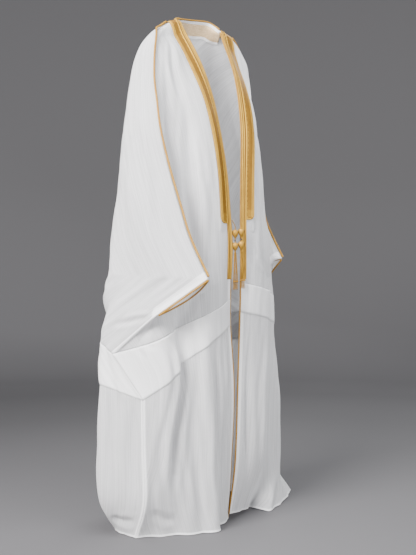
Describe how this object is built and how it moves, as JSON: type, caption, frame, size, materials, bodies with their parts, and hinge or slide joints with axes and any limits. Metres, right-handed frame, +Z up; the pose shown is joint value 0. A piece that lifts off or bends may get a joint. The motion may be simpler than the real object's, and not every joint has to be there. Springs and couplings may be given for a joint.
{
  "type": "bisht cloak",
  "caption": "Long open-front sleeved cloak of thin white cloth, hanging as worn, with gold-thread bands, piping and a pair of beaded tassels at the front.",
  "frame": {"origin": "midway between the two neck points of the shoulder seams, where the cloak rests on its wearer's neck and shoulders", "axes": "+Z up, -Y out of the cloak's front, +X towards the wearer's left sleeve"},
  "size_m": [0.8002, 0.4438, 1.5622],
  "materials": {
    "front_right_top": "fine matt white cloth",
    "front_left_top": "fine matt white cloth",
    "back_top": "fine matt white cloth",
    "front_right_skirt": "fine matt white cloth",
    "front_left_skirt": "fine matt white cloth",
    "back_skirt": "fine matt white cloth",
    "tuck_front_right": "fine matt white cloth",
    "tuck_front_left": "fine matt white cloth",
    "tuck_back": "fine matt white cloth",
    "neck_tape": "fine matt white cloth",
    "facing_hem": "fine matt white cloth",
    "edge_band_right": "metallic gold thread",
    "edge_band_left": "metallic gold thread",
    "neck_band_right": "metallic gold thread",
    "neck_band_left": "metallic gold thread",
    "neck_band_back": "metallic gold thread",
    "front_edge_cord_right": "metallic gold thread",
    "front_edge_cord_left": "metallic gold thread",
    "shoulder_cord_right": "metallic gold thread",
    "shoulder_cord_left": "metallic gold thread",
    "cuff_cord_front_right": "metallic gold thread",
    "cuff_cord_back_right": "metallic gold thread",
    "cuff_cord_front_left": "metallic gold thread",
    "cuff_cord_back_left": "metallic gold thread",
    "neck_edge_cord": "metallic gold thread",
    "toggle_cord_right": "metallic gold thread",
    "toggle_cord_left": "metallic gold thread",
    "bead_upper_right": "metallic gold thread",
    "bead_upper_left": "metallic gold thread",
    "bead_lower_right": "metallic gold thread",
    "bead_lower_left": "metallic gold thread",
    "tassel_right": "metallic gold thread",
    "tassel_left": "metallic gold thread",
    "neck_facing": "matt beige cloth",
    "bead_spacer_right": "dark polished bead",
    "bead_spacer_left": "dark polished bead"
  },
  "bodies": {
    "root": {"front_right_top": "front_right_top", "front_left_top": "front_left_top", "back_top": "back_top", "front_right_skirt": "front_right_skirt", "front_left_skirt": "front_left_skirt", "back_skirt": "back_skirt", "tuck_front_right": "tuck_front_right", "tuck_front_left": "tuck_front_left", "tuck_back": "tuck_back", "neck_tape": "neck_tape", "facing_hem": "facing_hem", "edge_band_right": "edge_band_right", "edge_band_left": "edge_band_left", "neck_band_right": "neck_band_right", "neck_band_left": "neck_band_left", "neck_band_back": "neck_band_back", "front_edge_cord_right": "front_edge_cord_right", "front_edge_cord_left": "front_edge_cord_left", "shoulder_cord_right": "shoulder_cord_right", "shoulder_cord_left": "shoulder_cord_left", "cuff_cord_front_right": "cuff_cord_front_right", "cuff_cord_back_right": "cuff_cord_back_right", "cuff_cord_front_left": "cuff_cord_front_left", "cuff_cord_back_left": "cuff_cord_back_left", "neck_edge_cord": "neck_edge_cord", "toggle_cord_right": "toggle_cord_right", "toggle_cord_left": "toggle_cord_left", "bead_upper_right": "bead_upper_right", "bead_upper_left": "bead_upper_left", "bead_lower_right": "bead_lower_right", "bead_lower_left": "bead_lower_left", "tassel_right": "tassel_right", "tassel_left": "tassel_left", "neck_facing": "neck_facing", "bead_spacer_right": "bead_spacer_right", "bead_spacer_left": "bead_spacer_left"}
  },
  "joints": []
}
